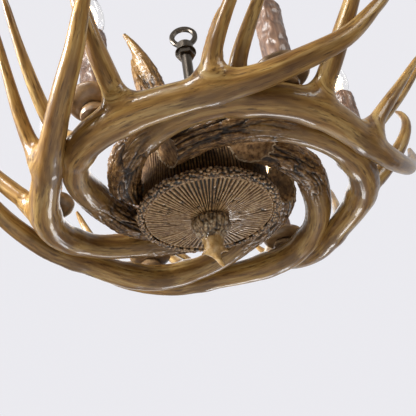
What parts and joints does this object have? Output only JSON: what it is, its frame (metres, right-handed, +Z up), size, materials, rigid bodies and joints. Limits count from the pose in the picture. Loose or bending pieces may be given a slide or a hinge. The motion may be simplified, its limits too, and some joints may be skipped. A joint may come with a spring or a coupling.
{
  "type": "antler chandelier",
  "caption": "Round chandelier of cast antlers swirling from a burr hub, with candle lights on dishes, a drop finial and a hanging loop.",
  "frame": {"origin": "middle of the hanging loop's eye", "axes": "+Z up along the stem, +Y along the eye's axis, the pictured side towards -Y"},
  "size_m": [0.671, 0.6806, 0.4544],
  "materials": {
    "bark_resin": "cast resin with a bark texture, dark brown, glinting on its high spots",
    "gill_resin": "cast resin with radial gills, brown",
    "antler_resin": "cast resin like polished antler, tan with brown streaks, bark at the base",
    "horn_resin": "dark brown cast resin",
    "sleeve": "reddish-brown candle sleeve",
    "steel": "plain steel",
    "brass": "plain brass",
    "white_plastic": "phenolic and nylon",
    "glass": "clear",
    "filament": "wire and glass stem, lit warm"
  },
  "bodies": {
    "fixture": {"hub_shell": "bark_resin", "hub_rim": "bark_resin", "hub_cover": "bark_resin", "hub_disc": "gill_resin", "steel_frame": "steel", "finial_rod": "steel", "stem_tube": "steel", "stem_nuts": "steel", "stem_washers": "steel", "hanging_loop": "steel", "wire_connectors": "white_plastic", "lamp_sockets": "white_plastic", "antler_screws": "steel", "crown_screws": "steel", "candle_bosses": "horn_resin", "candle_posts": "brass", "antler_1": "antler_resin", "antler_2": "antler_resin", "antler_3": "antler_resin", "antler_4": "antler_resin", "antler_5": "antler_resin", "antler_6": "antler_resin", "crown_antler_1": "antler_resin", "crown_antler_2": "antler_resin", "crown_antler_3": "antler_resin", "candle_dish_1": "horn_resin", "candle_dish_2": "horn_resin", "candle_dish_3": "horn_resin", "candle_dish_4": "horn_resin", "candle_dish_5": "horn_resin", "candle_dish_6": "horn_resin", "candle_sleeve_1": "sleeve", "candle_sleeve_2": "sleeve", "candle_sleeve_3": "sleeve", "candle_sleeve_4": "sleeve", "candle_sleeve_5": "sleeve", "candle_sleeve_6": "sleeve"},
    "finial": {"finial": "bark_resin"},
    "bulb_1": {"bulb_glass_1": "glass", "bulb_cap_1": "brass", "bulb_filament_1": "filament"},
    "bulb_2": {"bulb_glass_2": "glass", "bulb_cap_2": "brass", "bulb_filament_2": "filament"},
    "bulb_3": {"bulb_glass_3": "glass", "bulb_cap_3": "brass", "bulb_filament_3": "filament"},
    "bulb_4": {"bulb_glass_4": "glass", "bulb_cap_4": "brass", "bulb_filament_4": "filament"},
    "bulb_5": {"bulb_glass_5": "glass", "bulb_cap_5": "brass", "bulb_filament_5": "filament"},
    "bulb_6": {"bulb_glass_6": "glass", "bulb_cap_6": "brass", "bulb_filament_6": "filament"}
  },
  "joints": [
    {"name": "finial_turn", "type": "hinge", "parent": "fixture", "child": "finial", "pos_m": [0, 0, -0.365], "axis": [0, 0, 1], "range_deg": [0, 1080]},
    {"name": "bulb_turn_1", "type": "hinge", "parent": "fixture", "child": "bulb_1", "pos_m": [0.10666, -0.19242, -0.1794], "axis": [0, 0, 1], "range_deg": [0, 1080]},
    {"name": "bulb_turn_2", "type": "hinge", "parent": "fixture", "child": "bulb_2", "pos_m": [0.21997, -0.00384, -0.1794], "axis": [0, 0, 1], "range_deg": [0, 1080]},
    {"name": "bulb_turn_3", "type": "hinge", "parent": "fixture", "child": "bulb_3", "pos_m": [0.11331, 0.18858, -0.1794], "axis": [0, 0, 1], "range_deg": [0, 1080]},
    {"name": "bulb_turn_4", "type": "hinge", "parent": "fixture", "child": "bulb_4", "pos_m": [-0.10666, 0.19242, -0.1794], "axis": [0, 0, 1], "range_deg": [0, 1080]},
    {"name": "bulb_turn_5", "type": "hinge", "parent": "fixture", "child": "bulb_5", "pos_m": [-0.21997, 0.00384, -0.1794], "axis": [0, 0, 1], "range_deg": [0, 1080]},
    {"name": "bulb_turn_6", "type": "hinge", "parent": "fixture", "child": "bulb_6", "pos_m": [-0.11331, -0.18858, -0.1794], "axis": [0, 0, 1], "range_deg": [0, 1080]}
  ]
}
